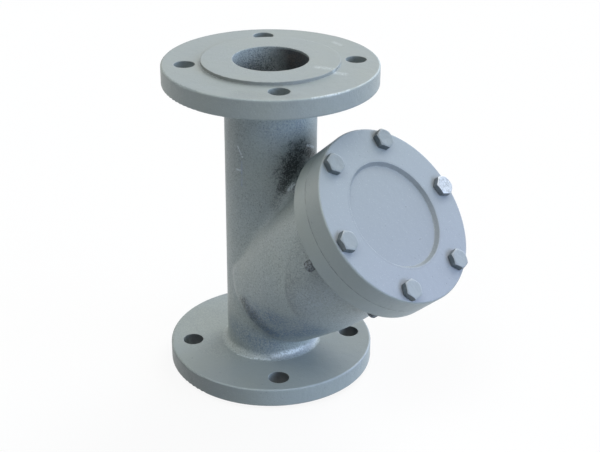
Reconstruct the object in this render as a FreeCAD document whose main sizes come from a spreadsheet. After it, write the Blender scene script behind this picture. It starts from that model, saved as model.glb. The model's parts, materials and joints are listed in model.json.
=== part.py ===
import FreeCAD, Part
import math
import os
import Sketcher

# Flanged dirt strainer for a 65 mm pipe. Millimetres and degrees.
# The origin is the centre of the lower (inlet) raised face. +Z runs up the main bore to the outlet,
# and the strainer branch leans from +Z towards +X, so that XZ is the plane of symmetry.
# On the branch, "station" is the distance along its axis from the point where it crosses the main bore.

SIZES = (
    ("bore_diameter", 65, "main bore"),
    ("barrel_wall", 7.5, "wall of the run between the flanges"),
    ("flange_diameter", 185, "pipe flange"),
    ("flange_thickness", 20, "pipe flange with its raised face"),
    ("raised_face_diameter", 118, "sealing face of a pipe flange"),
    ("raised_face_height", 3, "step of the sealing face"),
    ("pipe_bolt_circle", 145, "circle of the pipe flange holes"),
    ("pipe_bolt_hole", 18, "diameter of an outlet flange hole"),
    ("inlet_hole_ease", 0.4, "how much wider an inlet flange hole is"),
    ("pipe_bolt_count", 4, "holes in a pipe flange"),
    ("cast_fillet", 6, "inside corner of the casting"),
    ("cast_edge", 1.5, "outside edge of the casting"),
    ("branch_angle", 47.5, "lean of the branch from the run"),
    ("foot_gap", 12.6, "height of the chamber's lowest point over the foot fillet of the inlet flange"),
    ("flange_gap", 14.2, "from the barrel to the rim of the body flange"),
    ("head_room", 26.75, "from the cover's rim to the outlet flange"),
    ("chamber_diameter", 124, "outside of the strainer chamber"),
    ("chamber_wall", 8, "wall of the strainer chamber"),
    ("chamber_full_station", 72, "where the chamber reaches its full diameter"),
    ("chamber_foot_station", 5, "closed lower end of the chamber"),
    ("chamber_foot_round", 22, "rounding of the lower end"),
    ("chamber_waist_round", 200, "easing from the tapered part of the chamber to the straight one"),
    ("chamber_floor_round", 5, "inside corner at the chamber's floor"),
    ("chamber_floor_margin", 5.6, "floor of the chamber round the screen, before its corner is rounded"),
    ("crotch_fillet", 8, "blend between the chamber and the barrel"),
    ("seat_web", 6, "web under the screen's seat"),
    ("seat_lip", 1.5, "how much narrower the seat's hole is than the main bore, per side"),
    ("seat_depth", 5, "recess that centres the screen"),
    ("cover_thickness", 18, "cover at its rim"),
    ("branch_flange_thickness", 16.5, "body flange under the cover"),
    ("dial_diameter", 95, "round recess in the cover's outer face, at its top edge"),
    ("dial_depth", 3.5, "depth of that recess"),
    ("dial_draft", 2.5, "how far its wall slopes inwards"),
    ("gasket_thickness", 2, "cover gasket"),
    ("gasket_width", 5.5, "cover gasket, from inner to outer edge"),
    ("tongue_height", 1.5, "step of the cover that presses the gasket"),
    ("joint_clearance", 0.3, "gap round the tongue, the gasket and the screen's rings"),
    ("bolt_land", 2.9, "metal between the gasket's recess and a cover bolt"),
    ("bolt_edge", 10, "from the centre of a cover bolt to the rim"),
    ("cover_bolt_count", 6, "bolts in the cover"),
    ("bolt_diameter", 10, "cover bolt"),
    ("bolt_length", 50, "cover bolt under its head"),
    ("head_width", 16, "bolt head across its flats"),
    ("head_height", 5.8, "bolt head"),
    ("bolt_hole_gap", 0.5, "gap round a bolt in the cover"),
    ("thread_gap", 0.05, "gap round a bolt in the body flange"),
    ("screen_diameter", 74, "outside of the perforated tube"),
    ("screen_sheet", 1, "thickness of the perforated tube"),
    ("mesh_sheet", 0.6, "thickness of the fine mesh lining"),
    ("sheet_gap", 0.1, "gap between the lining, the tube and their rings"),
    ("ring_wall", 1, "wall of a screen ring"),
    ("ring_height", 8, "screen ring along the branch"),
    ("end_float", 0.3, "play of the screen under the cover"),
    ("screen_grip", 5, "how far the cover's rib reaches over the screen"),
    ("rib_wall", 5.5, "wall of that rib"),
    ("perforation", 7.6, "hole of the perforated tube across its flats"),
    ("holes_around", 16, "holes in one row"),
    ("hole_rows", 12, "rows of holes"),
)

# How far each bolt head was turned when it was tightened, counted round the cover from the +Y side.
HEAD_TURNS = (38, 22, 23, 30, 2, 13)

doc = FreeCAD.newDocument("flanged_dirt_strainer")
sheet = doc.addObject("Spreadsheet::Sheet", "sizes")
for row, (alias, number, note) in enumerate(SIZES, start=1):
    sheet.set("A%d" % row, alias)
    sheet.set("B%d" % row, "%g" % number)
    sheet.setAlias("B%d" % row, alias)
    sheet.set("C%d" % row, note)
doc.recompute()

# Radii, stations and heights that several pieces share, as expressions on the sheet.
SINE, COSINE = "sin(sizes.branch_angle)", "cos(sizes.branch_angle)"
BORE = "sizes.bore_diameter / 2"
BARREL = "(sizes.bore_diameter / 2 + sizes.barrel_wall)"
FLANGE = "sizes.flange_diameter / 2"
FACE = "sizes.raised_face_diameter / 2"
PIPE_BOLTS = "sizes.pipe_bolt_circle / 2"
CHAMBER = "sizes.chamber_diameter / 2"
CAVITY = "(sizes.chamber_diameter / 2 - sizes.chamber_wall)"
SCREEN = "sizes.screen_diameter / 2"
LINING = "(sizes.screen_diameter / 2 - sizes.screen_sheet - sizes.sheet_gap)"
LINING_INNER = "(%s - sizes.mesh_sheet)" % LINING
RING_OUTER = "(sizes.screen_diameter / 2 + sizes.sheet_gap + sizes.ring_wall)"
RING_INNER = "(%s - sizes.sheet_gap - sizes.ring_wall)" % LINING_INNER
SCREEN_POCKET = "(%s + sizes.joint_clearance)" % RING_OUTER
FLOOR_RADIUS = "(%s + sizes.chamber_floor_margin)" % SCREEN_POCKET
CHAMBER_FOOT = "(%s + sizes.chamber_wall)" % FLOOR_RADIUS
SEAT_HOLE = "(sizes.bore_diameter / 2 - sizes.seat_lip)"
SEAT_BACK = "sizes.chamber_foot_station"
SEAT = "(%s + sizes.seat_web)" % SEAT_BACK
CHAMBER_FLOOR = "(%s + sizes.seat_depth)" % SEAT
GASKET_INNER = "(%s + sizes.joint_clearance)" % CAVITY
GASKET_OUTER = "(%s + sizes.gasket_width)" % GASKET_INNER
GASKET_RECESS = "(%s + sizes.joint_clearance)" % GASKET_OUTER
COVER_BOLTS = "(%s + sizes.bolt_land + sizes.bolt_diameter / 2)" % GASKET_RECESS
COVER = "(%s + sizes.bolt_edge)" % COVER_BOLTS
FLANGE_BACK = "((%s + sizes.flange_gap + %s * %s) / %s)" % (BARREL, COVER, COSINE, SINE)
JOINT = "(%s + sizes.branch_flange_thickness)" % FLANGE_BACK
COVER_FACE = "(%s + sizes.cover_thickness)" % JOINT
TONGUE = "(%s - sizes.tongue_height)" % JOINT
GASKET_SEAT = "(%s - sizes.gasket_thickness)" % TONGUE
SCREEN_TOP = "(%s - sizes.end_float)" % TONGUE
HEAD_CORNER = "sizes.head_width / sqrt(3)"
# The chamber's lowest point lies on the rounding of its foot.
BRANCH_HEIGHT = ("(sizes.flange_thickness + sizes.cast_fillet + sizes.foot_gap + sizes.chamber_foot_round"
                 " + (%s - sizes.chamber_foot_round) * %s - (%s + sizes.chamber_foot_round) * %s)"
                 % (CHAMBER_FOOT, SINE, SEAT_BACK, COSINE))
RUN_HEIGHT = ("(%s + %s * %s + %s * %s + sizes.head_room + sizes.flange_thickness)"
              % (BRANCH_HEIGHT, COVER_FACE, COSINE, COVER, SINE))


def origin_plane(body, role):
    """The body's own base plane, such as XZ_Plane."""
    return next(item for item in body.Origin.OriginFeatures if item.Role == role)


def new_body(label):
    """An empty body whose label is the name of its piece."""
    body = doc.addObject("PartDesign::Body", label)
    body.Label = label
    return body


def on_branch(body):
    """Stand a body that is drawn along +Z on the branch axis, its zero at the crossing point."""
    body.Placement = FreeCAD.Placement(FreeCAD.Vector(), FreeCAD.Rotation(FreeCAD.Vector(0, 1, 0), 1))
    body.setExpression(".Placement.Base.z", BRANCH_HEIGHT)
    body.setExpression(".Placement.Rotation.Angle", "sizes.branch_angle")
    return body


def across_branch(station):
    """Expressions for the point of the branch axis at a station."""
    return "%s * %s" % (station, SINE), "0", "%s + %s * %s" % (BRANCH_HEIGHT, station, COSINE)


def new_sketch(body, name, role="XZ_Plane", towards_minus_x=False):
    """A sketch on a base plane. A turned outline drawn towards -X has its seam clear of the crotch."""
    sketch = body.newObject("Sketcher::SketchObject", name)
    sketch.AttachmentSupport = [(origin_plane(body, role), "")]
    sketch.MapMode = "FlatFace"
    sketch.MapReversed = towards_minus_x
    return sketch


def lean(sketch, base, angle, axis=(0, 0, 1)):
    """Turn and shift a sketch on its plane; base gives expressions for x, y and z."""
    turn = FreeCAD.Rotation(FreeCAD.Vector(*axis), 1)
    sketch.AttachmentOffset = FreeCAD.Placement(FreeCAD.Vector(), turn)
    sketch.setExpression(".AttachmentOffset.Rotation.Angle", angle)
    for letter, text in zip("xyz", base):
        if text != "0":
            sketch.setExpression(".AttachmentOffset.Base." + letter, text)


def bind(sketch, constraint, text):
    """Add a sketch dimension and bind it to an expression."""
    index = sketch.addConstraint(constraint)
    sketch.setExpression("Constraints[%d]" % index, text)


def place_point(sketch, geometry, end, point, texts):
    """Fix a point of a sketch by expressions for its distances from the sketch's axes."""
    distances = (("DistanceX", -2, point.x, texts[0]), ("DistanceY", -1, point.y, texts[1]))
    for kind, axis, value, text in distances:
        if text == "0":
            sketch.addConstraint(Sketcher.Constraint("PointOnObject", geometry, end, axis))
        else:
            bind(sketch, Sketcher.Constraint(kind, -1, 1, geometry, end, value), text)


def outline(sketch, corners):
    """Draw a closed outline. A corner is a pair of expressions, with a third if it is rounded."""
    points = [FreeCAD.Vector(*[sketch.evalExpression(text) for text in corner[:2]]) for corner in corners]
    count = len(corners)
    entries, exits, arcs = list(points), list(points), {}
    for index, corner in enumerate(corners):
        if len(corner) == 2:
            continue
        radius = sketch.evalExpression(corner[2])
        here = points[index]
        back = (points[index - 1] - here).normalize()
        ahead = (points[(index + 1) % count] - here).normalize()
        half = back.getAngle(ahead) / 2
        entries[index] = here + back * (radius / math.tan(half))
        exits[index] = here + ahead * (radius / math.tan(half))
        centre = here + (back + ahead).normalize() * (radius / math.sin(half))
        left_turn = (ahead.cross(back)).z > 0
        ends = (entries[index], exits[index]) if left_turn else (exits[index], entries[index])
        angles = [math.atan2(end.y - centre.y, end.x - centre.x) for end in ends]
        circle = Part.Circle(centre, FreeCAD.Vector(0, 0, 1), radius)
        arcs[index] = (Part.ArcOfCircle(circle, angles[0], angles[1]), left_turn)
    lines = [sketch.addGeometry(Part.LineSegment(exits[i], entries[(i + 1) % count])) for i in range(count)]
    for index, corner in enumerate(corners):
        before, after = lines[index - 1], lines[index]
        if index not in arcs:
            sketch.addConstraint(Sketcher.Constraint("Coincident", before, 2, after, 1))
            place_point(sketch, after, 1, points[index], corner)
            continue
        arc, left_turn = arcs[index]
        arc = sketch.addGeometry(arc)
        mark = sketch.addGeometry(Part.Point(points[index]), True)
        first, last = (1, 2) if left_turn else (2, 1)
        sketch.addConstraint(Sketcher.Constraint("PointOnObject", mark, 1, before))
        sketch.addConstraint(Sketcher.Constraint("PointOnObject", mark, 1, after))
        sketch.addConstraint(Sketcher.Constraint("Tangent", before, 2, arc, first))
        sketch.addConstraint(Sketcher.Constraint("Tangent", arc, last, after, 1))
        place_point(sketch, mark, 1, points[index], corner)
        bind(sketch, Sketcher.Constraint("Radius", arc, sketch.evalExpression(corner[2])), corner[2])


def round_hole(sketch, x, y, radius):
    """Draw a circle; its centre and radius are expressions."""
    centre = FreeCAD.Vector(sketch.evalExpression(x), sketch.evalExpression(y), 0)
    value = sketch.evalExpression(radius)
    circle = sketch.addGeometry(Part.Circle(centre, FreeCAD.Vector(0, 0, 1), value))
    place_point(sketch, circle, 3, centre, (x, y))
    bind(sketch, Sketcher.Constraint("Radius", circle, value), radius)


def turned(body, kind, name, sketch):
    """Turn an outline round its sketch's upright axis, as a Revolution or a Groove."""
    feature = body.newObject("PartDesign::" + kind, name)
    feature.Profile = sketch
    feature.ReferenceAxis = (sketch, ["V_Axis"])
    feature.Angle = 360
    doc.recompute()
    return feature


def drilled(body, name, sketch, depth, upwards=False):
    """Cut a sketch's outline into the body, down from its plane or up."""
    pocket = body.newObject("PartDesign::Pocket", name)
    pocket.Profile = sketch
    pocket.Reversed = upwards
    pocket.setExpression("Length", depth)
    doc.recompute()
    return pocket


def ring_of(body, name, feature, sketch, count):
    """Repeat a feature round its sketch's normal."""
    pattern = body.newObject("PartDesign::PolarPattern", name)
    pattern.Originals = [feature]
    pattern.Axis = (sketch, ["N_Axis"])
    pattern.Angle = 360
    pattern.setExpression("Occurrences", count)
    body.Tip = pattern
    doc.recompute()


def turned_ring(label, corners):
    """A round piece on the branch axis, turned from one outline."""
    body = on_branch(new_body(label))
    sketch = new_sketch(body, label + "_outline")
    outline(sketch, corners)
    turned(body, "Revolution", label + "_turned", sketch)
    return body


def crotch_edges(shape):
    """The edges along which the chamber leaves the barrel: they lie on the barrel and aren't circles."""
    radius = sheet.evalExpression(BARREL)
    names = []
    for number, edge in enumerate(shape.Edges, start=1):
        first, last = edge.ParameterRange
        stops = [edge.valueAt(first + (last - first) * k / 4) for k in range(5)]
        on_barrel = all(abs(math.hypot(stop.x, stop.y) - radius) < 0.01 for stop in stops)
        if on_barrel and not isinstance(edge.Curve, (Part.Circle, Part.Line)):
            names.append("Edge%d" % number)
    return names


def bored(body, name, level, station, upwards):
    """Bore the run from one of its faces to a wall that lies square across the branch."""
    wall = body.newObject("PartDesign::Plane", name + "_wall")
    wall.AttachmentSupport = [(origin_plane(body, "XY_Plane"), "")]
    wall.MapMode = "FlatFace"
    lean(wall, across_branch(station), "sizes.branch_angle", axis=(0, 1, 0))
    mouth = new_sketch(body, name + "_outline", "XY_Plane")
    mouth.setExpression(".AttachmentOffset.Base.z", level)
    round_hole(mouth, "0", "0", BORE)
    pocket = body.newObject("PartDesign::Pocket", name)
    pocket.Profile = mouth
    pocket.Reversed = upwards
    pocket.Type = "UpToFace"
    pocket.UpToFace = (wall, [""])
    doc.recompute()


def flange_holes(body, name, level, diameter, upwards):
    """The ring of bolt holes in a pipe flange; they straddle the plane of symmetry."""
    holes = new_sketch(body, name + "_outline", "XY_Plane")
    holes.setExpression(".AttachmentOffset.Base.z", level)
    half_pitch = "(180 / sizes.pipe_bolt_count)"
    round_hole(holes, "%s * cos%s" % (PIPE_BOLTS, half_pitch), "%s * sin%s" % (PIPE_BOLTS, half_pitch),
               "(%s) / 2" % diameter)
    hole = drilled(body, name, holes, "sizes.flange_thickness", upwards)
    ring_of(body, name + "s", hole, holes, "sizes.pipe_bolt_count")


def strainer_body():
    """The casting: a run with two pipe flanges, and the slanted chamber with its own flange."""
    body = new_body("strainer_body")
    run = new_sketch(body, "run_outline", towards_minus_x=True)
    low_back = "sizes.flange_thickness"
    high_back = RUN_HEIGHT + " - sizes.flange_thickness"
    high_rim = RUN_HEIGHT + " - sizes.raised_face_height"
    outline(run, (
        ("0", "0"),
        (FACE, "0"),
        (FACE, "sizes.raised_face_height"),
        (FLANGE, "sizes.raised_face_height", "sizes.cast_edge"),
        (FLANGE, low_back, "sizes.cast_edge"),
        (BARREL, low_back, "sizes.cast_fillet"),
        (BARREL, high_back, "sizes.cast_fillet"),
        (FLANGE, high_back, "sizes.cast_edge"),
        (FLANGE, high_rim, "sizes.cast_edge"),
        (FACE, high_rim),
        (FACE, RUN_HEIGHT),
        ("0", RUN_HEIGHT),
    ))
    turned(body, "Revolution", "run_casting", run)

    branch = new_sketch(body, "branch_outline", towards_minus_x=True)
    lean(branch, ("0", BRANCH_HEIGHT, "0"), "sizes.branch_angle")
    outline(branch, (
        ("0", SEAT_BACK),
        (CHAMBER_FOOT, SEAT_BACK, "sizes.chamber_foot_round"),
        (CHAMBER, "sizes.chamber_full_station", "sizes.chamber_waist_round"),
        (CHAMBER, FLANGE_BACK, "sizes.cast_fillet / 2"),
        (COVER, FLANGE_BACK, "sizes.cast_edge"),
        (COVER, JOINT),
        ("0", JOINT),
    ))
    casting = turned(body, "Revolution", "branch_casting", branch)

    blend = body.newObject("PartDesign::Fillet", "crotch_blend")
    blend.Base = (casting, crotch_edges(casting.Shape))
    blend.setExpression("Radius", "sizes.crotch_fillet")
    doc.recompute()

    bored(body, "inlet_bore", "0", SEAT_BACK, upwards=True)
    bored(body, "outlet_bore", RUN_HEIGHT, CHAMBER_FLOOR, upwards=False)

    cavity = new_sketch(body, "chamber_outline", towards_minus_x=True)
    lean(cavity, ("0", BRANCH_HEIGHT, "0"), "sizes.branch_angle")
    outline(cavity, (
        ("0", SEAT_BACK + " - sizes.seat_lip"),
        (SEAT_HOLE, SEAT_BACK + " - sizes.seat_lip"),
        (SEAT_HOLE, SEAT),
        (SCREEN_POCKET, SEAT),
        (SCREEN_POCKET, CHAMBER_FLOOR),
        (FLOOR_RADIUS, CHAMBER_FLOOR, "sizes.chamber_floor_round"),
        (CAVITY, "sizes.chamber_full_station"),
        (CAVITY, GASKET_SEAT),
        (GASKET_RECESS, GASKET_SEAT),
        (GASKET_RECESS, JOINT + " + sizes.tongue_height"),
        ("0", JOINT + " + sizes.tongue_height"),
    ))
    turned(body, "Groove", "strainer_chamber", cavity)

    flange_holes(body, "inlet_hole", "0", "sizes.pipe_bolt_hole + sizes.inlet_hole_ease", upwards=True)
    flange_holes(body, "outlet_hole", RUN_HEIGHT, "sizes.pipe_bolt_hole", upwards=False)

    tapped = new_sketch(body, "tapped_hole_outline", "XY_Plane")
    lean(tapped, across_branch(JOINT), "sizes.branch_angle", axis=(0, 1, 0))
    round_hole(tapped, "0", COVER_BOLTS, "sizes.bolt_diameter / 2 + sizes.thread_gap")
    hole = drilled(body, "tapped_hole", tapped, "sizes.branch_flange_thickness + sizes.cast_fillet")
    ring_of(body, "tapped_holes", hole, tapped, "sizes.cover_bolt_count")
    return body


def cover():
    """The round cover: a shallow dial outside, a tongue on the gasket and a rib round the screen inside."""
    rib_end = "(%s - sizes.screen_grip)" % SCREEN_TOP
    rib_outer = "(%s + sizes.rib_wall)" % SCREEN_POCKET
    dial_floor = COVER_FACE + " - sizes.dial_depth"
    body = turned_ring("cover", (
        ("0", TONGUE),
        (SCREEN_POCKET, TONGUE),
        (SCREEN_POCKET, rib_end),
        (rib_outer, rib_end),
        (rib_outer, TONGUE),
        (GASKET_OUTER, TONGUE),
        (GASKET_OUTER, JOINT),
        (COVER, JOINT),
        (COVER, COVER_FACE, "sizes.cast_edge"),
        ("sizes.dial_diameter / 2", COVER_FACE),
        ("sizes.dial_diameter / 2 - sizes.dial_draft", dial_floor),
        ("0", dial_floor),
    ))
    holes = new_sketch(body, "cover_hole_outline", "XY_Plane")
    holes.setExpression(".AttachmentOffset.Base.z", COVER_FACE)
    round_hole(holes, "0", COVER_BOLTS, "sizes.bolt_diameter / 2 + sizes.bolt_hole_gap")
    hole = drilled(body, "cover_hole", holes, "sizes.cover_thickness")
    ring_of(body, "cover_holes", hole, holes, "sizes.cover_bolt_count")
    return body


def cover_gasket():
    """The flat ring that the cover's tongue presses into its recess."""
    return turned_ring("cover_gasket", (
        (GASKET_INNER, GASKET_SEAT),
        (GASKET_OUTER, GASKET_SEAT),
        (GASKET_OUTER, TONGUE),
        (GASKET_INNER, TONGUE),
    ))


def bolt(number):
    """A hexagon bolt, drawn with the underside of its head at zero and its shank down."""
    label = "bolt_%d" % (number + 1)
    body = new_body(label)
    shank = new_sketch(body, label + "_shank_outline")
    radius, tip = "sizes.bolt_diameter / 2", "sizes.bolt_diameter / 10"
    outline(shank, (
        ("0", "-sizes.bolt_length"),
        ("%s - %s" % (radius, tip), "-sizes.bolt_length"),
        (radius, "%s - sizes.bolt_length" % tip),
        (radius, "0"),
        ("0", "0"),
    ))
    turned(body, "Revolution", label + "_shank", shank)

    hexagon = new_sketch(body, label + "_head_outline", "XY_Plane")
    lean(hexagon, ("0", "0", "0"), "%d" % HEAD_TURNS[number % len(HEAD_TURNS)])
    half_width, half_side = "sizes.head_width / 2", HEAD_CORNER + " / 2"
    outline(hexagon, (
        (half_width, "-" + half_side),
        (half_width, half_side),
        ("0", HEAD_CORNER),
        ("-" + half_width, half_side),
        ("-" + half_width, "-" + half_side),
        ("0", "-" + HEAD_CORNER),
    ))
    head = body.newObject("PartDesign::Pad", label + "_head")
    head.Profile = hexagon
    head.setExpression("Length", "sizes.head_height")
    doc.recompute()

    chamfer = new_sketch(body, label + "_chamfer_outline")
    low = "sizes.head_height - (%s - sizes.head_width / 2) * tan(30)" % HEAD_CORNER
    clear = HEAD_CORNER + " + sizes.cast_edge"
    over = "sizes.head_height + sizes.cast_edge"
    outline(chamfer, (
        (half_width, "sizes.head_height"),
        (HEAD_CORNER, low),
        (clear, low),
        (clear, over),
        (half_width, over),
    ))
    turned(body, "Groove", label + "_chamfer", chamfer)

    angle = "(%d * 360 / sizes.cover_bolt_count)" % number
    across, along = "%s * sin%s" % (COVER_BOLTS, angle), "%s * cos%s" % (COVER_BOLTS, angle)
    base = across_branch(COVER_FACE)
    body.Placement = FreeCAD.Placement(FreeCAD.Vector(), FreeCAD.Rotation(FreeCAD.Vector(0, 1, 0), 1))
    body.setExpression(".Placement.Rotation.Angle", "sizes.branch_angle")
    body.setExpression(".Placement.Base.x", "%s - %s * %s" % (base[0], across, COSINE))
    body.setExpression(".Placement.Base.y", along)
    body.setExpression(".Placement.Base.z", "%s + %s * %s" % (base[2], across, SINE))
    return body


def screen_ring(label, closed_end, direction):
    """A channel that the ends of the perforated tube and its lining stand in."""
    floor = "%s %s sizes.ring_wall" % (closed_end, direction)
    brim = "%s %s sizes.ring_height" % (closed_end, direction)
    outer_slot = "(%s + sizes.sheet_gap)" % SCREEN
    inner_slot = "(%s - sizes.sheet_gap)" % LINING_INNER
    return turned_ring(label, (
        (RING_INNER, closed_end),
        (RING_OUTER, closed_end),
        (RING_OUTER, brim),
        (outer_slot, brim),
        (outer_slot, floor),
        (inner_slot, floor),
        (inner_slot, brim),
        (RING_INNER, brim),
    ))


def sheet_tube(label, outer, inner):
    """A rolled sheet that reaches from the floor of one screen ring to the floor of the other."""
    low = SEAT + " + sizes.ring_wall"
    high = SCREEN_TOP + " - sizes.ring_wall"
    return turned_ring(label, ((inner, low), (outer, low), (outer, high), (inner, high)))


def screen_tube():
    """The perforated tube, with staggered rows of six-sided holes between its rings."""
    blank = sheet_tube("screen_blank", SCREEN, "(%s - sizes.screen_sheet)" % SCREEN)
    punch = doc.addObject("Part::Prism", "punch")
    punch.Polygon = 6
    punch.setExpression("Circumradius", "sizes.perforation / sqrt(3)")
    punch.setExpression("Height", SCREEN + " + sizes.screen_sheet")
    doc.recompute()

    low = sheet.evalExpression(SEAT + " + sizes.ring_height")
    high = sheet.evalExpression(SCREEN_TOP + " - sizes.ring_height")
    rows, columns = round(sheet.get("hole_rows")), round(sheet.get("holes_around"))
    outwards = FreeCAD.Placement(FreeCAD.Vector(), FreeCAD.Rotation(FreeCAD.Vector(0, 1, 0), 90))
    punches = []
    for row in range(rows):
        centre = FreeCAD.Vector(0, 0, low + (high - low) / rows * (row + 0.5))
        for column in range(columns):
            turn = FreeCAD.Rotation(FreeCAD.Vector(0, 0, 1), 360 / columns * (column + row % 2 / 2))
            place = FreeCAD.Placement(centre, turn).multiply(outwards)
            punches.append(punch.Shape.transformed(place.toMatrix()))
    tube = doc.addObject("Part::Feature", "screen_tube")
    tube.Label = "screen_tube"
    tube.Shape = blank.Tip.Shape.cut(Part.makeCompound(punches))
    return on_branch(tube)


def export(bodies):
    """Check every object, then write each piece to its own file."""
    doc.recompute()
    for item in doc.Objects:
        if {"Invalid", "Error"} & set(item.State):
            raise RuntimeError("%s failed: %s" % (item.Label, item.State))
    for body in bodies:
        if body.Shape.isNull() or not body.Shape.isValid():
            raise RuntimeError("%s has no valid shape" % body.Label)
    os.makedirs("parts", exist_ok=True)
    for body in bodies:
        body.Shape.exportStep("parts/%s.step" % body.Label)
        print("%-18s %10.0f mm3" % (body.Label, body.Shape.Volume))


export([
    strainer_body(),
    cover(),
    cover_gasket(),
    screen_tube(),
    sheet_tube("screen_mesh", LINING, LINING_INNER),
    screen_ring("screen_foot_ring", SEAT, "+"),
    screen_ring("screen_top_ring", SCREEN_TOP, "-"),
] + [bolt(number) for number in range(round(sheet.get("cover_bolt_count")))])
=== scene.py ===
import json
import math

import bmesh
import bpy
from mathutils import Matrix, Vector


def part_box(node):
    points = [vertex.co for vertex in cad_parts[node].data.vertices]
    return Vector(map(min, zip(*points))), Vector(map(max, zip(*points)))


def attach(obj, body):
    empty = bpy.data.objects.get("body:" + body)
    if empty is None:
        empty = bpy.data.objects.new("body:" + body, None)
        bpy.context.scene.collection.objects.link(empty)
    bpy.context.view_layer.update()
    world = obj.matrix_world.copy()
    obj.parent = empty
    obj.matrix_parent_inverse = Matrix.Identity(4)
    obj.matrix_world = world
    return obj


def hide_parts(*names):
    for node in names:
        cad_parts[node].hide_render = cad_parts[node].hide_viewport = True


# The flanged dirt strainer, dressed. Metres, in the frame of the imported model: the origin is the
# centre of the inlet's raised face, +Z runs up the bore, and the branch leans towards +X. A station
# is a distance along the branch's axis from the point where it crosses the bore.

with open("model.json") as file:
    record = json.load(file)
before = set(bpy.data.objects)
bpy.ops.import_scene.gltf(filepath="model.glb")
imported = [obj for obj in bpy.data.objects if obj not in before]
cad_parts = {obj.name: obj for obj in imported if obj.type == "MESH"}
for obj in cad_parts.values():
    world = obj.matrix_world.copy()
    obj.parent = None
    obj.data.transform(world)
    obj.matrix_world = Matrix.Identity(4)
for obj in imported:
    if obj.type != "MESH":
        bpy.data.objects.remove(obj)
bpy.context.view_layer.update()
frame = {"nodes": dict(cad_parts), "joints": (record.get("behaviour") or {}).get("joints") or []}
nodes = frame["nodes"]

MM = 0.001

# Directions, the point where the branch crosses the bore, and stations on the branch.
UP = Vector((0, 0, 1))
SIDE = Vector((0, 1, 0))
LEAN = Vector(next(joint["axis"] for joint in frame["joints"]
                   if joint["name"] == "cover_lift")).normalized()
ACROSS = Vector((LEAN.z, 0, -LEAN.x))
CROSSING = Vector((0, 0, 64.477)) * MM
CAVITY_START = 4 * MM
FLANGE_BACK = 144.987 * MM
JOINT = 161.487 * MM
COVER_FACE = 179.487 * MM

# Sizes of the casting and the cover that their paint follows.
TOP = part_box("strainer_body")[1][2]
BORE_RADIUS = 32.5 * MM
BARREL_RADIUS = 40 * MM
CAVITY_RADIUS = 54 * MM
CHAMBER_RADIUS = 62 * MM
FLANGE_RADIUS = 92.5 * MM
FLANGE_THICKNESS = 20 * MM
FACE_RADIUS = 59 * MM
FACE_HEIGHT = 3 * MM
HOLE_CIRCLE = 72.5 * MM
HOLE_RADIUS = 9 * MM
COVER_RADIUS = 78 * MM
DIAL_RADIUS = 47.5 * MM
DIAL_DEPTH = 3.5 * MM

# Sides with painted shade and painted light: the shaded side of the lower flange's rim and of the
# bore's top, and the lit side of the bolt holes.
SHADED_RIM_SIDE = (-0.75, -0.66, 0)
SHADED_BORE_SIDE = (-0.45, -0.89, 0)
LIT_HOLE_SIDE = (0.78, 0.62, 0)

# The photograph's camera: place, turn about X, Y and Z in degrees, and a lens for this sensor.
CAMERA_PLACE = (0.65105, -0.78003, 0.63233)
CAMERA_TURN = (63.849, -0.453, 38.613)
CAMERA_LENS = 75.98
CAMERA_SENSOR = 36

# Soft lights of the studio, each a broad glow of the sky: degrees round from +X towards +Y,
# degrees up, colour and strength.
SKY = (
    (-90, 68, (0.97, 1.00, 0.99), 6.1),
    (0, 68, (1.00, 0.89, 0.71), 1.5),
    (90, 50, (1.00, 0.97, 0.90), 8.6),
    (90, 20, (0.62, 0.77, 1.00), 5.4),
    (25, 25, (0.69, 0.77, 1.00), 3.1),
    (25, 8, (0.62, 0.77, 1.00), 6.7),
    (0, 8, (0.62, 0.77, 1.00), 5.7),
    (-75, 45, (0.80, 0.88, 1.00), 1.3),
    (-140, 35, (0.90, 1.00, 0.90), 0.4),
    (-170, 12, (1.00, 0.89, 0.71), 1.4),
)
SKY_SHARPNESS = 30
WHITE = (1, 1, 1)

# The floor: how far it reaches, how far it lies under the strainer, the light that it gives back
# to the strainer, and what the camera sees of it.
FLOOR_REACH = 4.0
FLOOR_DROP = 0.5 * MM
FLOOR_MATT = (0.18, 0.19, 0.20)
FLOOR_GLOW = (0.208, 0.240, 0.269)
FLOOR_SHADE = (0.85, 0.85, 0.85)
FLOOR_WHITENESS = 0.90

# Bolts: sizes, and how far each head was turned, counted round the cover from the +Y side.
BOLT_CIRCLE = 68 * MM
BOLT_RADIUS = 5 * MM
BOLT_LENGTH = 50 * MM
BOLT_PLAIN = 18 * MM
THREAD_PITCH = 1.5 * MM
THREAD_DEPTH = 0.85 * MM
THREAD_CHAMFER = 1.2 * MM
THREAD_RUN_OUT = 1.5 * THREAD_PITCH
THREAD_SIDES = 24
THREAD_LEVELS = 5
HEAD_WIDTH = 16 * MM
HEAD_HEIGHT = 5.8 * MM
HEAD_COLLAR = 0.46 * HEAD_WIDTH
HEAD_LIFT = 0.3 * MM
HEAD_BEVEL = math.radians(30)
HEAD_DISH = 0.25 * MM
HEAD_SIDES = 72
HEAD_TURNS = (38, 22, 23, 30, 2, 13)

# Screen: the perforated sheet between the floors of its two rings, and the wire cloth inside it.
SHEET_RADIUS = 37 * MM
SHEET_WALL = 1 * MM
SHEET_ENDS = (12 * MM, 158.687 * MM)
PERFORATED = (19.6 * MM, 151.1 * MM)
PERFORATION = 1.65 * MM
PERFORATION_ROWS = 27
PERFORATION_COLUMNS = 41
CLOTH_RADIUS = 35.6 * MM
CLOTH_PITCH = 1.1 * MM

SHARP_CREASE = math.radians(32)
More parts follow.
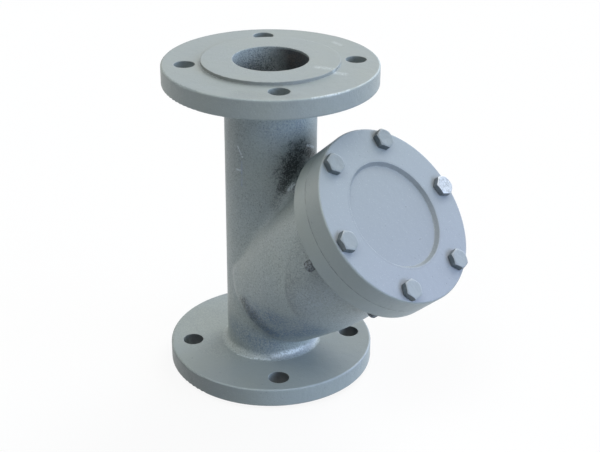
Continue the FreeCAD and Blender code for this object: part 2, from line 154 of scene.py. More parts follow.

# Marks on the casting, such as scratches, scuffs and chips, with painted highlights, painted bluish
# shade and reflections and painted light: from, to and width in millimetres, strength and colour.
# Pale: scuffs and chips, and a painted highlight along the foot of the fillet.
PALE_SCUFF_AND_HIGHLIGHT = (0.60, 0.66, 0.68)
# Painted highlight.
PAINTED_HIGHLIGHT = (0.69, 0.75, 0.78)
BLUE = (0.30, 0.37, 0.52)
DARK = (0.16, 0.19, 0.20)
# Painted bluish shade and reflection.
PAINTED_BLUE_SHADE = (0.10, 0.16, 0.26)
# Painted bluish reflection.
PAINTED_BLUE_REFLECTION = (0.46, 0.54, 0.62)
# Painted light, green-grey.
PAINTED_LIGHT_GREEN = (0.46, 0.52, 0.49)
MARKS_AND_PAINTED_LIGHT = (
    ((-3.0, -39.9, 222.0), (1.9, -39.9, 214.0), 1.2, 1.50, PALE_SCUFF_AND_HIGHLIGHT),
    ((-5.0, -39.7, 200.4), (0.9, -40.0, 201.4), 1.4, 1.00, PALE_SCUFF_AND_HIGHLIGHT),
    ((1.2, -40.0, 209.0), (1.0, -40.0, 187.0), 1.2, 0.70, BLUE),
    ((44.0, 8.0, 290.0), (66.0, 15.0, 287.0), 4.5, 0.50, PALE_SCUFF_AND_HIGHLIGHT),
    ((80.2, -45.0, 286.7), (85.5, -34.0, 286.7), 1.5, 0.70, PALE_SCUFF_AND_HIGHLIGHT),
    ((85.5, -34.0, 286.7), (89.3, -23.0, 286.7), 1.7, 0.85, PALE_SCUFF_AND_HIGHLIGHT),
    ((89.3, -23.0, 286.7), (91.4, -12.0, 286.7), 1.5, 0.60, PALE_SCUFF_AND_HIGHLIGHT),
    ((-21.0, 85.6, 287.0), (-18.5, 86.4, 287.0), 1.2, 0.60, DARK),
    ((8.0, 77.0, 287.0), (18.0, 74.0, 287.0), 3.0, 0.35, PALE_SCUFF_AND_HIGHLIGHT),
    ((40.0, 0.0, 222.0), (38.5, 10.5, 216.5), 1.4, 2.00, PALE_SCUFF_AND_HIGHLIGHT),
    # Painted highlight on the fillet at the foot of the barrel.
    ((28.5, -31.5, 24.0), (38.0, -16.0, 24.4), 3.6, 1.20, PAINTED_HIGHLIGHT),
    ((38.0, -16.0, 24.4), (40.8, -5.0, 24.4), 3.2, 0.95, PAINTED_HIGHLIGHT),
    ((40.8, -5.0, 24.2), (41.0, 5.0, 24.0), 2.0, 0.35, PAINTED_HIGHLIGHT),
    # Painted highlight: a bright crest along the foot of the fillet, on the lower flange.
    ((-2.0, -45.5, 20.2), (12.0, -43.0, 20.4), 1.3, 0.60, PALE_SCUFF_AND_HIGHLIGHT),
    ((12.0, -43.0, 20.4), (27.5, -34.0, 20.6), 1.4, 0.90, PALE_SCUFF_AND_HIGHLIGHT),
    ((38.6, -16.0, 191.0), (36.0, -19.5, 186.0), 2.2, 1.40, PALE_SCUFF_AND_HIGHLIGHT),
    ((34.5, -21.5, 183.0), (30.0, -27.5, 174.0), 0.8, 0.45, PALE_SCUFF_AND_HIGHLIGHT),
    # Painted bluish shade and reflection under the chamber, high on the barrel and at its foot.
    ((27.0, -53.0, 76.0), (46.0, -54.0, 80.0), 15.0, 0.50, PAINTED_BLUE_SHADE),
    ((46.0, -54.0, 80.0), (74.0, -46.0, 84.0), 14.0, 0.42, PAINTED_BLUE_SHADE),
    ((36.0, -43.0, 58.0), (76.0, -36.0, 69.0), 18.0, 0.78, PAINTED_BLUE_SHADE),
    ((20.0, -55.0, 88.0), (30.0, -56.5, 85.0), 9.0, 0.30, PAINTED_BLUE_SHADE),
    ((26.0, -30.5, 240.0), (38.5, -10.5, 246.0), 13.0, 0.26, PAINTED_BLUE_SHADE),
    ((-12.0, -38.2, 42.0), (24.0, -32.0, 34.0), 16.0, 0.46, PAINTED_BLUE_SHADE),
    # Painted bluish reflection low on the chamber.
    ((86.0, -58.0, 112.0), (122.0, -58.0, 130.0), 20.0, 0.36, PAINTED_BLUE_REFLECTION),
    # Painted light: a lighter green-grey patch on the barrel.
    ((15.0, -37.0, 228.0), (16.0, -36.7, 196.0), 15.0, 0.46, PAINTED_LIGHT_GREEN),
)

# Painted shadows on the casting, most of them in corners, in a nearly black painted shade: from, to
# and width in millimetres, and strength.
SHADE_BLACK = (0.035, 0.042, 0.046)
PAINTED_SHADOWS = (
    ((38.6, -10.0, 216.5), (35.8, -18.5, 203.0), 16.5, 0.95),
    ((36.4, -17.0, 206.0), (33.0, -23.5, 188.0), 8.0, 0.70),
    ((33.0, -23.5, 190.0), (28.0, -29.0, 170.0), 5.5, 0.35),
    ((39.2, -8.0, 240.0), (38.0, -12.5, 230.0), 9.0, 0.15),
    ((39.8, 1.0, 215.5), (37.5, 13.0, 208.5), 5.5, 0.80),
    ((14.5, -54.6, 85.0), (23.0, -53.5, 74.0), 8.0, 0.70),
    ((23.0, -53.5, 74.0), (36.2, -45.5, 58.0), 11.5, 0.78),
    ((32.0, -77.0, 287.0), (64.0, -54.0, 287.0), 12.0, 0.13),
)

# Other colours of the casting's paint, and painted shade. The faces across the branch carry painted
# light, a little bluer low down and a little warmer high up, between two heights. The shadow is a
# share of the paint's darker grey.
BLUE_LIGHT_LOW = (1.025, 1.015, 1.055)
WARM_LIGHT_HIGH = (0.955, 0.960, 0.895)
FACE_LIGHT_HEIGHTS = (135 * MM, 235 * MM)
SHADOW_SHARE = 0.40
# Painted shade on the dial's wall, on the top flange's rim and on the step of its raised face.
DIAL_WALL_SHADE = (0.215, 0.245, 0.275)
WARM_RIM_SHADE = (0.155, 0.120, 0.070)
STEP_SHADE = (0.17, 0.16, 0.14)
IRON = (0.040, 0.048, 0.054)
RUST = (0.066, 0.052, 0.042)
IRON_PIT = (0.004, 0.007, 0.012)

# Colours of the bolts. The paint darkens between two heights.
ZINC_DULL, ZINC_BRIGHT = (0.21, 0.235, 0.255), (0.50, 0.535, 0.58)
ZINC_SIDE = (0.12, 0.14, 0.155)
BOLT_PAINT = (0.266, 0.300, 0.326)
BOLT_PAINT_THICK = (0.248, 0.282, 0.310)
BOLT_PAINT_HIGH = (0.130, 0.158, 0.148)
BOLT_PAINT_HEIGHTS = (150 * MM, 225 * MM)
BOLT_PAINT_WORN = (0.56, 0.62, 0.65)
BOLT_SIDE = (0.085, 0.110, 0.125)
BOLT_TIP = (0.09, 0.10, 0.11)
SHANK_DARK, SHANK_BRIGHT = (0.17, 0.17, 0.17), (0.30, 0.30, 0.295)

# Colours of the gasket and the screen, and how fine the sheet's brushing is along each axis.
GRAPHITE_DARK, GRAPHITE_BRIGHT = (0.035, 0.036, 0.038), (0.085, 0.088, 0.092)
SHEET_DARK, SHEET_BRIGHT = (0.27, 0.27, 0.265), (0.40, 0.40, 0.39)
SHEET_BRUSHING = (40, 40, 900)
WATER_HAZE = (0.24, 0.20, 0.15)
WIRE_DARK, WIRE_BRIGHT = (0.24, 0.24, 0.235), (0.42, 0.42, 0.41)
WIRE_GAP = (0.05, 0.05, 0.05)


class Value:
    """What a shader node gives. Sums, products and powers of numbers add Math nodes."""

    def __init__(self, finish, socket):
        self.finish = finish
        self.socket = socket

    def math(self, operation, *numbers, clamp=False):
        settings = {"operation": operation, "use_clamp": clamp}
        return self.finish.node("Math", *numbers, settings=settings)

    def __add__(self, other):
        return self.math("ADD", self, other)

    def __sub__(self, other):
        return self.math("SUBTRACT", self, other)

    def __mul__(self, other):
        return self.math("MULTIPLY", self, other)

    def __truediv__(self, other):
        return self.math("DIVIDE", self, other)

    def __pow__(self, other):
        return self.math("POWER", self, other)

    def __radd__(self, other):
        return self.math("ADD", other, self)

    def __rsub__(self, other):
        return self.math("SUBTRACT", other, self)

    def __rmul__(self, other):
        return self.math("MULTIPLY", other, self)

    def __abs__(self):
        return self.math("ABSOLUTE", self)

    def sine(self):
        return self.math("SINE", self)

    def most(self, other):
        """The larger of this and another."""
        return self.math("MAXIMUM", self, other)

    def between(self, low, high):
        """0 below low, 1 above high and straight between them; low may be the larger one."""
        return self.math("MULTIPLY", self - low, 1 / (high - low), clamp=True)


class Finish:
    """A material or a world under construction."""

    def __init__(self, owner):
        owner.use_nodes = True
        self.owner = owner
        self.tree = owner.node_tree
        self.tree.nodes.clear()

    def node(self, kind, *values, settings=(), output=None, **inputs):
        """Any shader node. Of the sockets that its settings leave in use, the first ones take the
        values, and the inputs are named, with underscores for spaces."""
        node = self.tree.nodes.new("ShaderNode" + kind)
        for name, setting in dict(settings).items():
            setattr(node, name, setting)
        sockets = [socket for socket in node.inputs if socket.enabled]
        for socket, value in zip(sockets, values):
            self.fill(socket, value)
        for name, value in inputs.items():
            name = name.replace("_", " ")
            self.fill(next(socket for socket in sockets if socket.name == name), value)
        return Value(self, next(socket for socket in node.outputs
                                if socket.enabled and output in (None, socket.name)))

    def fill(self, socket, value):
        if isinstance(value, Value):
            self.tree.links.new(value.socket, socket)
        elif socket.type == "RGBA" and len(value) == 3:
            socket.default_value = (*value, 1)
        else:
            socket.default_value = value

    def vector(self, operation, *values):
        """Vector Math. A dot product or a distance comes back as a number."""
        return self.node("VectorMath", *values, settings={"operation": operation})

    def blend(self, share, first, second):
        """A colour between two."""
        return self.node("Mix", share, first, second, settings={"data_type": "RGBA"})

    def close(self, shader, kind="Material"):
        """Ends the nodes with a shader, and gives the material or world back."""
        output = self.tree.nodes.new("ShaderNodeOutput" + kind)
        self.tree.links.new(shader.socket, output.inputs["Surface"])
        return self.owner


class Paint(Finish):
    """The material of a piece: a tint that colours are laid over, and a relief that is embossed."""

    def __init__(self, name):
        super().__init__(bpy.data.materials.new(name))
        self.place = self.node("TexCoord", output="Object")
        self.tint = None
        self.relief = None

    def lay(self, share, shade):
        """Covers this share of the tint, from 0 to 1, with a colour."""
        self.tint = self.blend(share, self.tint, shade)

    def emboss(self, height, depth):
        """Adds a bump of this depth in metres where the height is 1."""
        below = {"Normal": self.relief} if self.relief else {}
        self.relief = self.node("Bump", Height=height, Distance=depth, Strength=1.0, **below)

    def round_edges(self, radius):
        """Starts the relief with rounded edges."""
        self.relief = self.node("Bevel", settings={"samples": 6}, Radius=radius)

    def sharpness(self):
        """How sharp the edge is here, from 0, by the rounded edges before anything is embossed."""
        return 1 - self.vector("DOT_PRODUCT", self.relief, self.normal())

    def normal(self):
        return self.node("NewGeometry", output="Normal")

    def noise(self, size, detail=3.0, roughness=0.55):
        """Cloudy noise from 0 to 1 whose spots are about this size in metres."""
        return self.node("TexNoise", Vector=self.place, Scale=1 / size, Detail=detail,
                         Roughness=roughness)

    def height(self):
        """How high a point of the surface lies over the inlet's face."""
        return self.node("SeparateXYZ", self.place, output="Z")

    def along(self, direction):
        """How far a point of the surface lies along a direction from the origin."""
        return self.vector("DOT_PRODUCT", self.place, direction)

    def station(self):
        """How far along the branch a point of the surface lies."""
        return self.along(LEAN) - CROSSING.dot(LEAN)

    def facing(self, direction):
        """1 where the surface faces this direction squarely, 0 where it is edge on."""
        return self.vector("DOT_PRODUCT", self.normal(), direction)

    def round_axis(self, centre, direction):
        """For the axis through a centre along a direction: how far a point of the surface lies
        from it, and 1 where the surface faces it, as the wall of a hole does."""
        offset = self.vector("SUBTRACT", self.place, centre)
        along = self.vector("DOT_PRODUCT", offset, direction)
        on_axis = self.vector("SCALE", direction, along)
        outwards = self.vector("SUBTRACT", offset, on_axis)
        reach = self.vector("DISTANCE", offset, on_axis).most(1 * MM)
        turned_out = self.vector("DOT_PRODUCT", self.normal(), outwards) / reach
        return reach, turned_out.between(-0.4, -0.7)

    def streak(self, start, end, width, ragged=0.0):
        """1 on a line between two points, in millimetres, fading to 0 at its width. A ragged value
        tears its edge."""
        start, end = Vector(start) * MM, Vector(end) * MM
        run = end - start
        offset = self.vector("SUBTRACT", self.place, start)
        share = self.vector("DOT_PRODUCT", offset, run / run.length_squared).between(0, 1)
        nearest = self.vector("SCALE", run, share)
        away = self.vector("DISTANCE", offset, nearest) + ragged * (width * MM)
        return away.between(width * MM, 0.3 * width * MM)

    def surface(self, **inputs):
        return self.close(self.node("BsdfPrincipled", Base_Color=self.tint, Normal=self.relief,
                                    **inputs))


class CastingPaint(Paint):
    """Grey paint on cast iron, for the casting and the cover, by where a point lies on them."""

    def __init__(self, name, dark, worn):
        super().__init__(name)
        self.worn = worn
        self.shadow = [SHADOW_SHARE * shade for shade in dark]
        self.level = self.height()
        self.low_half = self.level.between(TOP / 2, TOP / 3)
        self.top_flange = self.level.between(TOP - FLANGE_THICKNESS - 4 * MM,
                                             TOP - FLANGE_THICKNESS - 2 * MM)
        self.on_branch = self.station()
        self.run_reach, self.run_walls = self.round_axis((0, 0, 0), UP)
        self.branch_reach, self.branch_walls = self.round_axis(CROSSING, LEAN)
        self.facing_up = self.facing(UP)
        self.facing_out = self.facing(LEAN)
        self.flat_top = self.facing_up.between(0.990, 0.999)
        self.rough = 1 - 0.6 * self.flat_top.most(self.facing_out.between(0.990, 0.999))
        barrel = self.run_reach.between(BARREL_RADIUS + 7 * MM, BARREL_RADIUS + 4 * MM)
        chamber = (self.branch_reach.between(CHAMBER_RADIUS + 4 * MM, CHAMBER_RADIUS + 2 * MM)
                   * self.on_branch.between(FLANGE_BACK + 1 * MM, FLANGE_BACK - 1 * MM))
        self.curved = barrel.most(chamber) * self.rough
        self.grain = self.noise(1.5 * MM, roughness=0.65)
        self.speckle = self.noise(1.3 * MM, detail=2.0, roughness=0.7)
        self.pits = self.noise(2.6 * MM, detail=1.0).between(0.27, 0.20)
        self.round_edges(1.2 * MM)

    def coat(self, light, dark, face):
        """Mottled paint, another grey with painted light on faces across the branch, painted shade
        on flat tops.
        """
        self.tint = self.blend(self.noise(48 * MM).between(0.35, 0.65), light, dark)
        low, high = ([shade * share for shade, share in zip(face, shares)]
                     for shares in (BLUE_LIGHT_LOW, WARM_LIGHT_HIGH))
        # Painted light on the faces across the branch: bluer low down, warmer high up.
        faces = self.blend(self.level.between(*FACE_LIGHT_HEIGHTS), low, high)
        self.lay(self.facing_out.between(0.75, 0.97), faces)
        # Painted shade on flat tops.
        self.lay(self.flat_top * (0.32 + 0.04 * self.top_flange), self.shadow)

    def shade_steps(self):
        """Painted shade in the cover's dial, on the flanges' rims, deepest on one side of the lower
        rim and warm on the top one, and on the step of the top raised face.
        """
        # Painted shade in the cover's dial, deepest on its wall.
        dial = (self.branch_reach.between(DIAL_RADIUS + 2.5 * MM, DIAL_RADIUS + 1.5 * MM)
                * self.on_branch.between(COVER_FACE - DIAL_DEPTH - 4.5 * MM,
                                         COVER_FACE - DIAL_DEPTH - 3.5 * MM))
        self.lay(dial * 0.12, self.shadow)
        self.lay(dial * self.facing_out.between(0.96, 0.70) * 0.85, DIAL_WALL_SHADE)
        # Painted shade on the flanges' rims, deepest on one side of the lower rim, warm on the top
        # rim.
        rims = (self.run_reach.between(FLANGE_RADIUS - 2.5 * MM, FLANGE_RADIUS - 1 * MM)
                * abs(self.facing_up).between(0.5, 0.3))
        rim_in_shade = self.facing(SHADED_RIM_SIDE).between(0.0, 0.8) * self.low_half
        self.lay(rims * (0.15 + 0.70 * rim_in_shade), self.shadow)
        self.lay(rims * self.top_flange * 0.15, WARM_RIM_SHADE)
        # Painted shade on the step of the top raised face.
        step = (self.run_reach.between(FACE_RADIUS - 1 * MM, FACE_RADIUS - 0.2 * MM)
                * self.run_reach.between(FACE_RADIUS + 2 * MM, FACE_RADIUS + 1 * MM)
                * self.level.between(TOP - FACE_HEIGHT - 1 * MM, TOP - FACE_HEIGHT - 0.5 * MM))
        self.lay(step * self.facing_up.between(0.95, 0.6) * 0.45, STEP_SHADE)

    def stipple(self):
        """Flecks, pits, the stippled skin of the barrel and the chamber with painted bluish shade
        on its undersides, and worn edges."""
        self.lay(self.noise(1.0 * MM, detail=1.0).between(0.66, 0.74) * 0.20, self.worn)
        self.lay(self.pits * 0.45, self.shadow)
        self.lay(self.speckle.between(0.52, 0.70) * self.curved * 0.62, self.shadow)
        self.lay(self.speckle.between(0.48, 0.30) * self.curved * 0.40, self.worn)
        # Painted bluish shade on the undersides of the barrel and the chamber.
        self.lay(self.facing_up.between(0.0, -0.45) * self.curved * 0.08, PAINTED_BLUE_SHADE)
        patches = self.noise(6 * MM, detail=4.0).between(0.44, 0.66)
        self.lay(self.sharpness().between(0.03, 0.16) * patches * 0.75, self.worn)

    def hairline(self):
        """The joint between the cover and the casting, as a broken dark line round the rim."""
        joint = (abs(self.on_branch - JOINT).between(0.55 * MM, 0.20 * MM)
                 * abs(self.facing_out).between(0.5, 0.2)
                 * self.branch_reach.between(COVER_RADIUS - 3 * MM, COVER_RADIUS - 2 * MM)
                 * self.branch_reach.between(COVER_RADIUS + 2 * MM, COVER_RADIUS + 1 * MM))
        self.lay(joint * self.noise(7 * MM).between(0.30, 0.60) * 0.80, self.shadow)

    def shade_and_mark(self, shadow_streaks, marks_and_light):
        """Dust and painted shade in the corners, then painted shadows, and marks with painted light
        among them, at their places. Gives the dust and shade back.
        """
        open_sky = self.node("AmbientOcclusion", settings={"samples": 8}, output="AO",
                             Distance=14 * MM)
        # Dust and painted shade where corners hide the sky, and nearly black painted shade where
        # they hide it most.
        dust_and_shade = open_sky.between(0.62, 0.15) * self.noise(5 * MM, detail=4.0).between(0.20, 0.70)
        self.lay(dust_and_shade * 0.45, self.shadow)
        self.lay(open_sky.between(0.50, 0.20) * 0.75, SHADE_BLACK)
        patchy = 0.35 + 0.65 * self.speckle.between(0.38, 0.52)
        ragged = 1.6 * (self.noise(5 * MM, detail=4.0, roughness=0.65) - 0.5)
        # Painted shadows, nearly black, with ragged edges.
        for start, end, width, strength in shadow_streaks:
            self.lay(self.streak(start, end, width, ragged) * patchy * strength, SHADE_BLACK)
        # Scuffs and chips, with painted highlights, painted bluish shade and reflections and
        # painted light.
        broken = self.noise(1.6 * MM).between(0.36, 0.58)
        for start, end, width, strength, shade in marks_and_light:
            self.lay(self.streak(start, end, width) * broken * strength, shade)
        return dust_and_shade

    def iron_and_shade_inside(self):
        """Bare iron in the chamber and the bore, and painted shade in the bore, darker deeper down
        and on its far side. Gives back where it lies.
        """
        # Painted shade in the bore: darker deeper down and on its far side.
        depth = TOP - self.level
        deep = (depth + (self.speckle - 0.5) * (60 * MM)).between(2 * MM, 38 * MM)
        bore_in_shade = self.facing(SHADED_BORE_SIDE).between(0.25, 0.80) * depth.between(0.2 * MM, 2.5 * MM)
        bore = (self.run_walls * deep.most(bore_in_shade)
                * self.run_reach.between(BORE_RADIUS + 1 * MM, BORE_RADIUS + 0.5 * MM))
        cavity = (self.branch_walls
                  * self.branch_reach.between(CAVITY_RADIUS + 1.5 * MM, CAVITY_RADIUS + 0.8 * MM)
                  * self.on_branch.between(CAVITY_START, CAVITY_START + 4 * MM)
                  * self.on_branch.between(JOINT, JOINT - 0.5 * MM))
        bare = bore.most(cavity)
        iron = self.blend(self.noise(10 * MM, detail=5.0).between(0.45, 0.70), IRON, RUST)
        iron = self.blend(self.speckle.between(0.40, 0.60) * 0.8, iron, IRON_PIT)
        self.lay(bare * 0.95, iron)
        return bare

    def shade_bolt_holes(self):
        """Painted shade on the walls of the flanges' bolt holes, with painted light on one side."""
        inner, outer = HOLE_CIRCLE - HOLE_RADIUS, HOLE_CIRCLE + HOLE_RADIUS
        flange = TOP / 2 - FLANGE_THICKNESS
        holes = (self.run_reach.between(inner - 1.5 * MM, inner - 0.5 * MM)
                 * self.run_reach.between(outer + 2.5 * MM, outer + 1.5 * MM)
                 * abs(self.level - TOP / 2).between(flange - 1 * MM, flange - 0.5 * MM)
                 * abs(self.facing_up).between(0.5, 0.3)
                 * (0.45 + 0.45 * self.low_half))
        # Painted shade in the holes, lighter on one side with painted light.
        self.lay(holes * (1 - 0.75 * self.facing(LIT_HOLE_SIDE).between(0.15, 0.95)), SHADE_BLACK)


def casting_paint(name, light, dark, worn, face, grain_depth, shadow_streaks=(), marks_and_light=()):
    """Grey paint: mottled, stippled, worn on its edges, with dust and painted shade in its corners,
    painted shadows, highlights and reflections at their places, and dark inside.
    """
    f = CastingPaint(name, dark, worn)
    f.coat(light, dark, face)
    f.shade_steps()
    f.stipple()
    f.hairline()
    dust_and_shade = f.shade_and_mark(shadow_streaks, marks_and_light)
    bare = f.iron_and_shade_inside()
    f.shade_bolt_holes()
    f.emboss(f.noise(9 * MM, detail=2.0) * f.rough, 0.6 * MM)
    f.emboss(f.grain * f.rough, grain_depth)
    f.emboss(1 - f.pits, 0.10 * MM)
    return f.surface(Roughness=0.35 + 0.18 * f.grain + 0.2 * dust_and_shade + 0.2 * bare)


def zinc_plate():
    """Bright zinc on steel, with a fine crystal speckle, dull on the sides of the head."""
    f = Paint("zinc_plate")
    f.round_edges(0.35 * MM)
    speckle = f.noise(1.3 * MM, roughness=0.7)
    f.tint = f.blend(speckle.between(0.36, 0.62), ZINC_DULL, ZINC_BRIGHT)
    f.lay(abs(f.facing(LEAN)).between(0.75, 0.45) * 0.75, ZINC_SIDE)
    f.emboss(speckle, 0.10 * MM)
    return f.surface(Metallic=0.55, Roughness=0.42 + 0.2 * speckle)


def bolt_paint():
    """Paint on a bolt's head and tip, thin on the sides of the head, and bare steel between."""
    f = Paint("bolt_paint")
    f.round_edges(0.9 * MM)
    grain = f.noise(2.0 * MM)
    station = f.station()
    f.tint = f.blend(f.noise(12 * MM).between(0.35, 0.65), BOLT_PAINT, BOLT_PAINT_THICK)
    f.lay(f.height().between(*BOLT_PAINT_HEIGHTS) * 0.42, BOLT_PAINT_HIGH)
    wear = f.sharpness().between(0.06, 0.22) * f.noise(2.5 * MM).between(0.42, 0.60)
    f.lay(wear * 0.4, BOLT_PAINT_WORN)
    sides = (abs(f.facing(LEAN)).between(0.80, 0.50)
             * station.between(COVER_FACE - 1 * MM, COVER_FACE))
    f.lay(sides * f.noise(3 * MM).between(0.10, 0.45) * 0.90, BOLT_SIDE)
    bare = (station.between(COVER_FACE, COVER_FACE - 0.5 * MM)
            * station.between(FLANGE_BACK - 1 * MM, FLANGE_BACK + 1 * MM))
    f.lay(bare, f.blend(grain, SHANK_DARK, SHANK_BRIGHT))
    tip = station.between(FLANGE_BACK, FLANGE_BACK - 1 * MM)
    f.lay(tip * f.noise(1.8 * MM, detail=2.0).between(0.40, 0.60), BOLT_TIP)
    f.emboss(f.noise(4.5 * MM, detail=2.0), 0.4 * MM)
    f.emboss(grain, 0.14 * MM)
    return f.surface(Metallic=0.8 * bare, Roughness=0.34 + 0.18 * grain)


def graphite_gasket():
    """Pressed graphite sheet: nearly black, matt, with a faint glitter."""
    f = Paint("graphite_gasket")
    grain = f.noise(0.8 * MM, detail=2.0)
    f.tint = f.blend(grain.between(0.40, 0.70), GRAPHITE_DARK, GRAPHITE_BRIGHT)
    f.emboss(grain, 0.08 * MM)
    return f.surface(Roughness=0.62 + 0.2 * grain)


def stainless_sheet():
    """Rolled stainless sheet, brushed round the screen, with the brown haze of water."""
    f = Paint("stainless_sheet")
    f.round_edges(0.25 * MM)
    brushed = f.vector("MULTIPLY", f.place, SHEET_BRUSHING)
    lines = f.node("TexNoise", Vector=brushed, Scale=1.0, Detail=2.0, Roughness=0.5)
    haze = f.noise(14 * MM, detail=4.0).between(0.50, 0.75)
    f.tint = f.blend(lines, SHEET_DARK, SHEET_BRIGHT)
    f.lay(haze * 0.35, WATER_HAZE)
    f.emboss(lines, 0.03 * MM)
    return f.surface(Metallic=0.9, Roughness=0.36 + 0.2 * haze)


def woven_wire():
    """Plain-weave wire cloth: wires round the tube and along it pass over and under each other."""
    f = Paint("woven_wire")
    side = f.along(SIDE)
    turn = side.math("ARCTAN2", side, f.along(ACROSS) - CROSSING.dot(ACROSS))
    wires = 2 * round(math.pi * CLOTH_RADIUS / CLOTH_PITCH)
    round_wave = (turn * wires).sine()
    long_wave = (f.along(LEAN) * (2 * math.pi / CLOTH_PITCH)).sine()
    weave = 0.5 + 0.5 * round_wave * long_wave
    gap = abs(round_wave).between(0.5, 0.15) * abs(long_wave).between(0.5, 0.15)
    f.tint = f.blend(weave, WIRE_DARK, WIRE_BRIGHT)
    f.lay(gap * 0.9, WIRE_GAP)
    f.emboss(weave - 0.6 * gap, 0.18 * MM)
    return f.surface(Metallic=0.85, Roughness=0.38 + 0.2 * gap)


def studio():
    """Soft lights all round in the sky. The camera sees plain white in place of them, and glossy
    surfaces see them on white."""
    f = Finish(bpy.data.worlds.new("studio"))
    direction = f.node("TexCoord", output="Generated")
    glossy = f.node("LightPath", output="Is Glossy Ray")
    lights = f.node("Background", Color=WHITE, Strength=glossy)
    for turn, rise, shade, strength in SKY:
        turn, rise = math.radians(turn), math.radians(rise)
        aim = (math.cos(turn) * math.cos(rise), math.sin(turn) * math.cos(rise), math.sin(rise))
        glow = f.vector("DOT_PRODUCT", direction, aim).most(0.0) ** SKY_SHARPNESS * strength
        lights = f.node("AddShader", lights, f.node("Background", Color=shade, Strength=glow))
    white = f.node("Background", Color=WHITE, Strength=1.0)
    seen = f.node("LightPath", output="Is Camera Ray")
    bpy.context.scene.world = f.close(f.node("MixShader", seen, lights, white), "World")


def white_floor():
    """A large sheet under the strainer, nearly white to the camera and to glossy surfaces."""
    mesh = bpy.data.meshes.new("floor")
    corners = [(x * FLOOR_REACH, y * FLOOR_REACH, -FLOOR_DROP)
               for x, y in ((-1, -1), (1, -1), (1, 1), (-1, 1))]
    mesh.from_pydata(corners, [], [(0, 1, 2, 3)])
    floor = bpy.data.objects.new("floor", mesh)
    bpy.context.scene.collection.objects.link(floor)
    f = Finish(bpy.data.materials.new("white_floor"))
    dim = f.node("AddShader", f.node("BsdfDiffuse", Color=FLOOR_MATT),
                 f.node("Emission", Color=FLOOR_GLOW, Strength=1.0))
    bright = f.node("MixShader", FLOOR_WHITENESS, f.node("BsdfDiffuse", Color=FLOOR_SHADE),
                    f.node("Emission", Color=WHITE, Strength=1.0))
    camera = f.node("LightPath", output="Is Camera Ray")
    glossy = f.node("LightPath", output="Is Glossy Ray")
    mesh.materials.append(f.close(f.node("MixShader", camera.most(glossy), dim, bright)))


def photo_camera():
    camera = bpy.data.cameras.new("photo_camera")
    camera.lens = CAMERA_LENS
    camera.sensor_width = CAMERA_SENSOR
    camera_object = bpy.data.objects.new("photo_camera", camera)
    camera_object.location = CAMERA_PLACE
    camera_object.rotation_euler = [math.radians(turn) for turn in CAMERA_TURN]
    bpy.context.scene.collection.objects.link(camera_object)
    bpy.context.scene.camera = camera_object


def dress(node, material):
    mesh = nodes[node].data
    mesh.materials.clear()
    mesh.materials.append(material)


def branch_frame(centre):
    """A matrix that stands a piece drawn along +Z on the branch's axis, its zero at a centre."""
    return Matrix.Translation(centre) @ Matrix((ACROSS, SIDE, LEAN)).transposed().to_4x4()


def crease(mesh):
    """Smooth shading, with a crease wherever two faces meet sharply."""
    mesh.shade_smooth()
    mesh.set_sharp_from_angle(angle=SHARP_CREASE)


def piece(name, points, faces, material, body, node):
    """A new piece from points and faces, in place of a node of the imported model."""
    mesh = bpy.data.meshes.new(name)
    mesh.from_pydata([tuple(point) for point in points], [], faces)
    mesh.validate()
    crease(mesh)
    mesh.materials.append(material)
    item = bpy.data.objects.new(name, mesh)
    bpy.context.scene.collection.objects.link(item)
    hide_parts(node)
    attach(item, body)
    return item


def rings(loops):
    """Points and faces of closed loops, all of one length, with a lid on each end."""
    count = len(loops[0])
    points = [point for loop in loops for point in loop]
    faces = []
    for low in range(0, len(points) - count, count):
        high = low + count
        for step in range(count):
            after = (step + 1) % count
            faces.append((low + step, low + after, high + after, high + step))
    faces.append(tuple(reversed(range(count))))
    faces.append(tuple(range(len(points) - count, len(points))))
    return points, faces


def turned_point(radius, angle, height):
    """The point at this radius from +Z, angle round it and height."""
    return Vector((radius * math.cos(angle), radius * math.sin(angle), height))


def threaded_shank():
    """A bolt's shank from its chamfered tip up to zero. The thread has flat roots and crests, and
    runs out where the plain part begins."""
    angles = [2 * math.pi * step / THREAD_SIDES for step in range(THREAD_SIDES)]
    levels = round((BOLT_LENGTH - BOLT_PLAIN) / THREAD_PITCH * THREAD_LEVELS)
    loops = []
    for level in range(levels + 1):
        height = -BOLT_LENGTH + (BOLT_LENGTH - BOLT_PLAIN) * level / levels
        depth = THREAD_DEPTH * min(1, (-BOLT_PLAIN - height) / THREAD_RUN_OUT)
        chamfer = BOLT_RADIUS - THREAD_CHAMFER + (height + BOLT_LENGTH)
        loop = []
        for step, angle in enumerate(angles):
            phase = abs((height / THREAD_PITCH - step / THREAD_SIDES) % 1 - 0.5) * 2
            crest = min(1, max(0, phase * 1.6 - 0.25))
            reach = min(chamfer, BOLT_RADIUS - depth * (1 - crest))
            loop.append(turned_point(reach, angle, height))
        loops.append(loop)
    loops.append([turned_point(BOLT_RADIUS, angle, 0) for angle in angles])
    return rings(loops)


def hexagon_reach(angle, width):
    """How far a hexagon's edge is from its centre in this direction."""
    return width / 2 / math.cos((angle + math.pi / 6) % (math.pi / 3) - math.pi / 6)


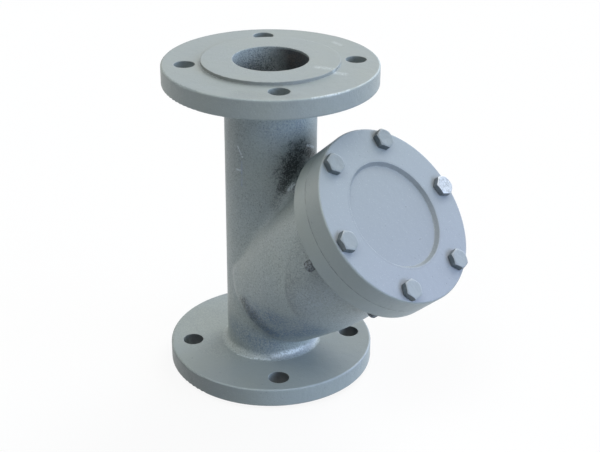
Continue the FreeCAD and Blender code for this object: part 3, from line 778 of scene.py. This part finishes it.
def hexagon_head(turn):
    """A bolt's head from zero up: a low collar, six sides, cut corners and a faint dish on top."""
    columns = []
    for step in range(HEAD_SIDES):
        angle = 2 * math.pi * step / HEAD_SIDES
        reach = hexagon_reach(angle - turn, HEAD_WIDTH)
        brow = HEAD_HEIGHT - (reach - HEAD_COLLAR) * math.tan(HEAD_BEVEL)
        profile = ((HEAD_COLLAR, 0), (HEAD_COLLAR, HEAD_LIFT), (reach, HEAD_LIFT), (reach, brow),
                   (HEAD_COLLAR, HEAD_HEIGHT), (0.9 * HEAD_COLLAR, HEAD_HEIGHT),
                   (0.45 * HEAD_COLLAR, HEAD_HEIGHT - HEAD_DISH))
        columns.append([turned_point(radius, angle, height) for radius, height in profile])
    return rings(list(zip(*columns)))


def bolts(painted, bare):
    """Six bolts with threads. The one on the +Y side is bare zinc, the others are painted over."""
    shank_points, shank_faces = threaded_shank()
    for number, turn in enumerate(HEAD_TURNS):
        around = math.radians(60 * number)
        centre = (CROSSING + LEAN * COVER_FACE
                  + BOLT_CIRCLE * (math.cos(around) * SIDE - math.sin(around) * ACROSS))
        place = branch_frame(centre)
        head_points, head_faces = hexagon_head(math.radians(turn))
        shift = len(shank_points)
        points = [place @ point for point in shank_points + head_points]
        faces = shank_faces + [tuple(corner + shift for corner in face) for face in head_faces]
        name = "bolt_%d" % (number + 1)
        piece(name + "_threaded", points, faces, painted if number else bare, name,
              name)


def perforated_sheet(material):
    """The rolled sheet of the screen, with staggered rows of round holes."""
    points, places, faces = [], {}, []
    width = 2 * math.pi / PERFORATION_COLUMNS
    height = (PERFORATED[1] - PERFORATED[0]) / PERFORATION_ROWS
    corners = ((1, 0), (1, 1), (0, 1), (-1, 1), (-1, 0), (-1, -1), (0, -1), (1, -1))
    sides = len(corners)

    def shared(angle, level):
        """A point between holes, made once for all the faces that meet there."""
        key = (round(2 * angle / width) % (2 * PERFORATION_COLUMNS), round(level / MM, 3))
        if key not in places:
            places[key] = len(points)
            points.append(turned_point(SHEET_RADIUS, angle, level))
        return places[key]

    def rim(angle, level, step):
        """A point on the rim of the hole round this place."""
        around = step * math.pi / 4
        across = PERFORATION * math.cos(around) / SHEET_RADIUS
        points.append(turned_point(SHEET_RADIUS, angle + across,
                                   level + PERFORATION * math.sin(around)))
        return len(points) - 1

    for row in range(PERFORATION_ROWS):
        level = PERFORATED[0] + (row + 0.5) * height
        for column in range(PERFORATION_COLUMNS):
            angle = (column + row % 2 / 2) * width
            outer = [shared(angle + x * width / 2, level + y * height / 2) for x, y in corners]
            inner = [rim(angle, level, step) for step in range(sides)]
            for step in range(sides):
                after = (step + 1) % sides
                faces.append((inner[step], outer[step], outer[after], inner[after]))
    for edge, end in zip(PERFORATED, SHEET_ENDS):
        for half in range(2 * PERFORATION_COLUMNS):
            near, far = half * width / 2, (half + 1) * width / 2
            quad = [shared(near, end), shared(far, end), shared(far, edge), shared(near, edge)]
            faces.append(tuple(quad if end < edge else reversed(quad)))

    place = branch_frame(CROSSING)
    sheet = piece("screen_perforated_sheet", [place @ point for point in points], faces, material,
                  "screen", "screen_tube")
    work = bmesh.new()
    work.from_mesh(sheet.data)
    bmesh.ops.recalc_face_normals(work, faces=work.faces)
    bmesh.ops.solidify(work, geom=work.faces[:], thickness=SHEET_WALL)
    work.to_mesh(sheet.data)
    work.free()
    crease(sheet.data)


bpy.context.scene.view_settings.view_transform = "Standard"
photo_camera()
studio()
white_floor()

body_paint = casting_paint(
    "body_paint", light=(0.355, 0.400, 0.390), dark=(0.335, 0.385, 0.395),
    worn=(0.56, 0.60, 0.60), face=(0.340, 0.385, 0.400), grain_depth=0.26 * MM,
    shadow_streaks=PAINTED_SHADOWS, marks_and_light=MARKS_AND_PAINTED_LIGHT)
cover_paint = casting_paint(
    "cover_paint", light=(0.336, 0.380, 0.376), dark=(0.326, 0.370, 0.376),
    worn=(0.58, 0.63, 0.66), face=(0.264, 0.299, 0.338), grain_depth=0.10 * MM)
zinc = zinc_plate()
painted = bolt_paint()
sheet_steel = stainless_sheet()
dress("strainer_body", body_paint)
dress("cover", cover_paint)
dress("cover_gasket", graphite_gasket())
dress("screen_foot_ring", sheet_steel)
dress("screen_top_ring", sheet_steel)
dress("screen_mesh", woven_wire())
dress("screen_tube", sheet_steel)
for number in range(len(HEAD_TURNS)):
    dress("bolt_%d" % (number + 1), painted if number else zinc)
bolts(painted, zinc)
perforated_sheet(sheet_steel)
